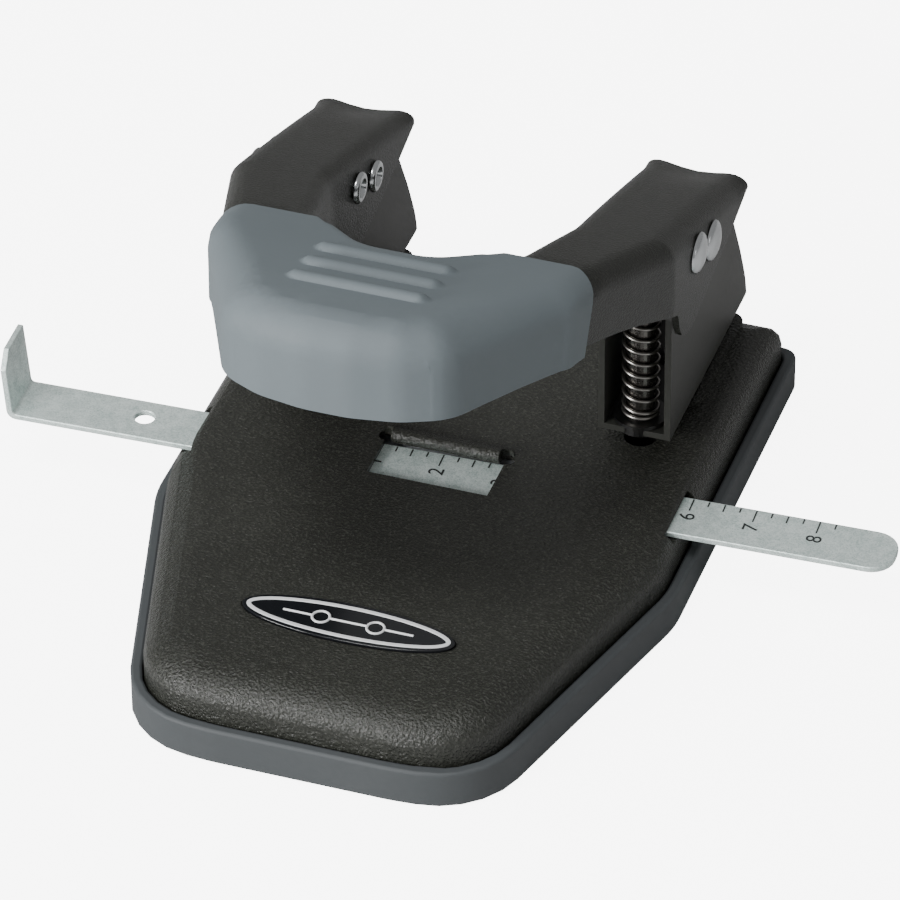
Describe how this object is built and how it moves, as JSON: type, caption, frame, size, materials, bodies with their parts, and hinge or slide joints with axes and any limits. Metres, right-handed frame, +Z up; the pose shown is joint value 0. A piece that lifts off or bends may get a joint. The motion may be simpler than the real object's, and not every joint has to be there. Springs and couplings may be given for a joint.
{
  "type": "hole punch",
  "caption": "Desk hole punch for filing holes: forked hand lever over spring-loaded pins in channel heads, pressed cover on a pull-off chip tray, with a sliding edge gauge.",
  "frame": {"origin": "on the underside of the chip tray, on the mirror plane midway between the two punch pins, 13.4 mm in front of the line through them", "axes": "+Z up, -Y towards the user, +X to the user's right along the row of holes"},
  "size_m": [0.181, 0.1501, 0.0945],
  "materials": {
    "grey_rubber": "matte moulded",
    "black_paint": "pebbled semi-gloss",
    "frame_paint": "smooth semi-gloss",
    "badge_enamel": "gloss enamel with a bright ring",
    "zinc_plate": "spangled zinc",
    "plain_steel": "plain pressed",
    "grip_rubber": "matte soft touch",
    "hard_steel": "oiled hardened",
    "spring_steel": "drawn wire",
    "bright_rivet": "bright plated",
    "pin_steel": "ground",
    "nylon": "matte"
  },
  "bodies": {
    "tray": {"chip_tray": "grey_rubber"},
    "base": {"base_cover": "black_paint", "badge_plate": "badge_enamel", "gauge_guide": "plain_steel", "right_frame": "frame_paint", "right_guide_bush": "hard_steel", "right_stop_block": "hard_steel", "right_die_plate": "hard_steel", "right_return_spring": "spring_steel", "right_frame_rivet_front": "bright_rivet", "right_frame_rivet_rear": "bright_rivet", "right_inner_washer": "nylon", "right_outer_washer": "nylon", "left_frame": "frame_paint", "left_guide_bush": "hard_steel", "left_stop_block": "hard_steel", "left_die_plate": "hard_steel", "left_return_spring": "spring_steel", "left_frame_rivet_front": "bright_rivet", "left_frame_rivet_rear": "bright_rivet", "left_inner_washer": "nylon", "left_outer_washer": "nylon"},
    "gauge": {"edge_gauge": "zinc_plate"},
    "lever": {"lever_plate": "black_paint", "lever_grip": "grip_rubber", "right_pivot_rivet": "bright_rivet", "right_drive_rivet": "bright_rivet", "left_pivot_rivet": "bright_rivet", "left_drive_rivet": "bright_rivet"},
    "right_punch": {"right_punch_pin": "pin_steel", "right_spring_collar": "hard_steel"},
    "left_punch": {"left_punch_pin": "pin_steel", "left_spring_collar": "hard_steel"}
  },
  "joints": [
    {"name": "tray_release", "type": "slide", "parent": "tray", "child": "base", "axis": [0, 0, 1], "range_m": [0, 0.03]},
    {"name": "gauge_slide", "type": "slide", "parent": "base", "child": "gauge", "axis": [0.9994, 0.0349, 0], "range_m": [-0.036, 0.031]},
    {"name": "lever_hinge", "type": "hinge", "parent": "base", "child": "lever", "pos_m": [0, 0.0257, 0.0578], "axis": [1, 0, 0], "range_deg": [0, 31], "stiffness_Nm_per_rad": 0.3, "springref_deg": -40.11},
    {"name": "right_punch_slide", "type": "slide", "parent": "base", "child": "right_punch", "axis": [0, 0, -1], "range_m": [0, 0.0054], "deforming": ["right_return_spring"]},
    {"name": "left_punch_slide", "type": "slide", "parent": "base", "child": "left_punch", "axis": [0, 0, -1], "range_m": [0, 0.0054], "deforming": ["left_return_spring"]}
  ],
  "couplings": [
    {"joint": "right_punch_slide", "follows": "lever_hinge", "m_per_rad": 0.00987},
    {"joint": "left_punch_slide", "follows": "lever_hinge", "m_per_rad": 0.00987}
  ]
}
